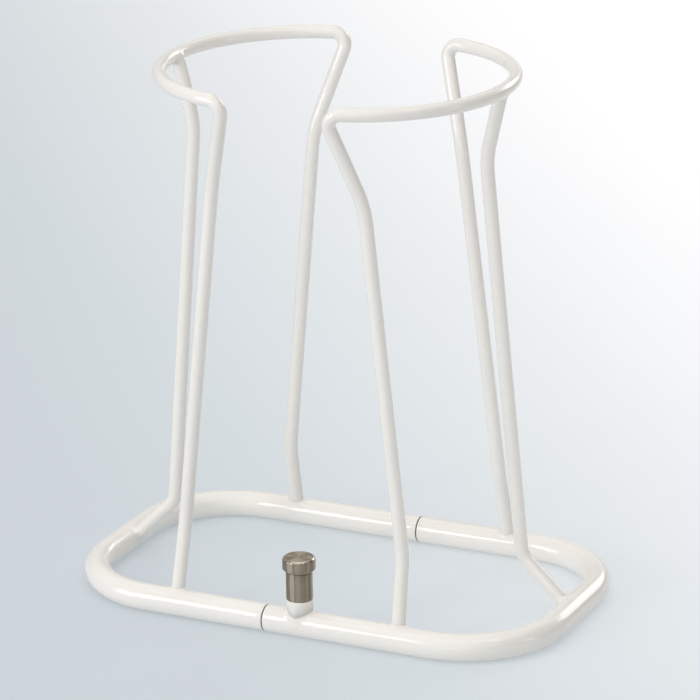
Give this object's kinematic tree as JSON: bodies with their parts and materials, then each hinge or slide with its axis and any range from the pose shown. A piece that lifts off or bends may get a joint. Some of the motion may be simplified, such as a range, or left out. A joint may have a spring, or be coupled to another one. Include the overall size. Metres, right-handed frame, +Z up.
{
  "type": "plastic bag holder",
  "caption": "Free-standing wire stand that holds a plastic carrier bag open: two telescoping halves with bag hoops on a tubular base ring, locked by a spring plunger.",
  "frame": {"origin": "centre of the base ring, on the surface that the holder stands on", "axes": "+Z up, +X towards the half that slides out, -Y the front, with the pull plunger"},
  "size_m": [0.383, 0.223, 0.397],
  "materials": {
    "frame_paint": "warm off-white gloss powder coat",
    "stainless": "turned and brushed satin stainless steel",
    "zinc_steel": "bright zinc-plated steel tube",
    "dark_nylon": "dark grey moulded nylon",
    "spring_steel": "drawn spring wire"
  },
  "bodies": {
    "left_half": {"left_base_tube": "frame_paint", "left_hoop_wire": "frame_paint", "left_middle_leg": "frame_paint", "left_foot_welds": "frame_paint", "left_hoop_weld": "frame_paint", "front_guide_tube": "zinc_steel", "rear_guide_tube": "zinc_steel", "guide_plug_welds": "frame_paint"},
    "right_half": {"right_base_tube": "frame_paint", "right_hoop_wire": "frame_paint", "right_middle_leg": "frame_paint", "right_foot_welds": "frame_paint", "right_hoop_weld": "frame_paint", "front_guide_bush": "dark_nylon", "rear_guide_bush": "dark_nylon", "plunger_boss": "frame_paint", "plunger_boss_weld": "frame_paint", "plunger_barrel": "stainless", "barrel_cap_ring": "stainless", "plunger_spring": "spring_steel"},
    "plunger": {"plunger_pin": "stainless", "spring_collar": "stainless", "pull_knob": "stainless"}
  },
  "joints": [
    {"name": "width_slide", "type": "slide", "parent": "left_half", "child": "right_half", "axis": [1, 0, 0], "range_m": [0, 0.06]},
    {"name": "plunger_pull", "type": "slide", "parent": "right_half", "child": "plunger", "axis": [0, 0, 1], "range_m": [0, 0.006], "stiffness_N_per_m": 800, "springref_m": -0.006, "deforming": ["plunger_spring"]}
  ]
}
